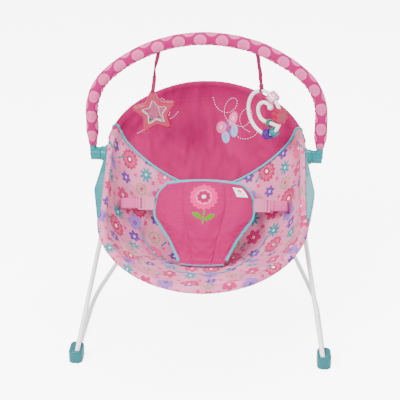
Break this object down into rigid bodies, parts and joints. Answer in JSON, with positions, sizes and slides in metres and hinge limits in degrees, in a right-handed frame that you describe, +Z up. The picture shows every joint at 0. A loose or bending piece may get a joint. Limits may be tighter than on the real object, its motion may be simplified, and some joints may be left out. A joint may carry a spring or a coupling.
{
  "type": "infant bouncer seat",
  "caption": "Infant bouncer seat: printed fabric sling on a bent wire spring frame, with a padded folding toy bar, hanging toys, side brackets and a buckled restraint.",
  "frame": {"origin": "middle of the box's underside, on the floor the seat stands on", "axes": "+Z up, -Y towards the foot end (front), +X to the right seen from the front"},
  "size_m": [0.522, 0.6058, 0.5964],
  "materials": {
    "frame_paint": "satin powder coat",
    "boot_rubber": "matt",
    "foot_teal": "semi-gloss moulded",
    "bracket_teal": "semi-gloss moulded",
    "steel_bright": "bright zinc",
    "cloth_floral": "printed woven polyester",
    "cloth_magenta": "woven polyester",
    "cloth_sleeve": "printed padded polyester",
    "webbing_pink": "flat webbing",
    "webbing_magenta": "flat webbing",
    "buckle_pink": "moulded",
    "tag_white": "woven label, blank",
    "star_coral": "glossy moulded",
    "clear_pane": "clear plastic",
    "silver_foil": "metallised plastic",
    "ball_yellow": "glossy",
    "bead_aqua": "glossy",
    "ring_white": "semi-gloss",
    "bead_pink": "pearly",
    "bead_purple": "glossy",
    "bead_lime": "glossy",
    "wheel_red": "glossy"
  },
  "bodies": {
    "base": {"base_wire_left": "frame_paint", "base_wire_right": "frame_paint", "rear_boot_left": "boot_rubber", "rear_boot_right": "boot_rubber", "front_foot_left": "foot_teal", "front_foot_right": "foot_teal", "rear_base_tube": "frame_paint"},
    "seat": {"leg_wire_left": "frame_paint", "leg_wire_right": "frame_paint", "bracket_outer_shell_left": "bracket_teal", "bracket_outer_shell_right": "bracket_teal", "bracket_inner_shell_left": "bracket_teal", "bracket_inner_shell_right": "bracket_teal", "bracket_screws_left": "steel_bright", "bracket_screws_right": "steel_bright", "pivot_pin_left": "steel_bright", "pivot_pin_right": "steel_bright", "side_flap_left": "cloth_floral", "side_flap_right": "cloth_floral", "buckle_socket_left": "buckle_pink", "buckle_socket_right": "buckle_pink", "waist_strap_left": "webbing_pink", "waist_strap_right": "webbing_pink", "upper_seat_tube": "frame_paint", "lower_seat_tube": "frame_paint", "head_hem": "cloth_magenta", "front_hem": "cloth_floral", "seat_panel": "cloth_floral", "head_panel": "cloth_magenta", "restraint_panel": "cloth_magenta", "label_tag": "tag_white"},
    "toy_bar": {"toy_bar_end_left": "bracket_teal", "toy_bar_end_right": "bracket_teal", "toy_bar_core": "frame_paint", "toy_bar_sleeve": "cloth_sleeve"},
    "star_toy": {"star_strap": "webbing_magenta", "star_ring": "star_coral", "star_pane_front": "clear_pane", "star_pane_back": "clear_pane", "star_liner": "silver_foil", "star_ball_left": "ball_yellow", "star_ball_aqua": "bead_aqua", "star_ball_right": "ball_yellow"},
    "ring_hanger": {"ring_strap": "webbing_magenta"},
    "ring_toy": {"c_ring": "ring_white", "flower_wheel": "wheel_red", "wheel_mirror": "silver_foil"},
    "pink_bead": {"pink_bead": "bead_pink"},
    "teal_bead": {"teal_bead": "bead_aqua"},
    "purple_bead": {"purple_bead": "bead_purple"},
    "lime_ring": {"lime_ring": "bead_lime"},
    "aqua_ring": {"aqua_ring": "bead_aqua"},
    "plug_left": {"buckle_plug_left": "buckle_pink"},
    "plug_right": {"buckle_plug_right": "buckle_pink"}
  },
  "joints": [
    {"name": "seat_bounce", "type": "hinge", "parent": "base", "child": "seat", "pos_m": [0, -0.25646, 0.01878], "axis": [1, 0, 0], "range_deg": [-4, 4], "stiffness_Nm_per_rad": 220, "springref_deg": 1.2},
    {"name": "toy_bar_fold", "type": "hinge", "parent": "seat", "child": "toy_bar", "pos_m": [0, 0.02786, 0.33], "axis": [1, 0, 0], "range_deg": [-40, 85]},
    {"name": "star_swing", "type": "hinge", "parent": "toy_bar", "child": "star_toy", "pos_m": [-0.0998, 0.02786, 0.56593], "axis": [0.9431, 0, 0.3324], "range_deg": [-45, 45]},
    {"name": "ring_swing", "type": "hinge", "parent": "toy_bar", "child": "ring_hanger", "pos_m": [0.106, 0.02786, 0.56366], "axis": [0.9356, 0, -0.3531], "range_deg": [-45, 25]},
    {"name": "ring_turn", "type": "hinge", "parent": "ring_hanger", "child": "ring_toy", "pos_m": [0.11435, 0.03351, 0.4723], "axis": [-0.6964, 0.6964, -0.1736], "range_deg": [-30, 30]},
    {"name": "pink_bead_spin", "type": "hinge", "parent": "ring_toy", "child": "pink_bead", "pos_m": [0.13724, 0.01063, 0.46601], "axis": [-0.5997, 0.5997, 0.5299], "continuous": true},
    {"name": "teal_bead_spin", "type": "hinge", "parent": "ring_toy", "child": "teal_bead", "pos_m": [0.14134, 0.00652, 0.39228], "axis": [0.5337, -0.5337, 0.6561], "continuous": true},
    {"name": "purple_bead_spin", "type": "hinge", "parent": "ring_toy", "child": "purple_bead", "pos_m": [0.12951, 0.01835, 0.38301], "axis": [0.6762, -0.6762, 0.2924], "continuous": true},
    {"name": "lime_ring_spin", "type": "hinge", "parent": "ring_toy", "child": "lime_ring", "pos_m": [0.12955, 0.01832, 0.4085], "axis": [0.7071, -0.7071, 0], "continuous": true},
    {"name": "aqua_ring_spin", "type": "hinge", "parent": "ring_toy", "child": "aqua_ring", "pos_m": [0.13273, 0.01513, 0.4085], "axis": [0.7071, -0.7071, 0], "continuous": true},
    {"name": "buckle_left_release", "type": "slide", "parent": "seat", "child": "plug_left", "axis": [-1, 0, 0], "range_m": [0, 0.02], "deforming": ["waist_strap_left"]},
    {"name": "buckle_right_release", "type": "slide", "parent": "seat", "child": "plug_right", "axis": [1, 0, 0], "range_m": [0, 0.02], "deforming": ["waist_strap_right"]}
  ]
}
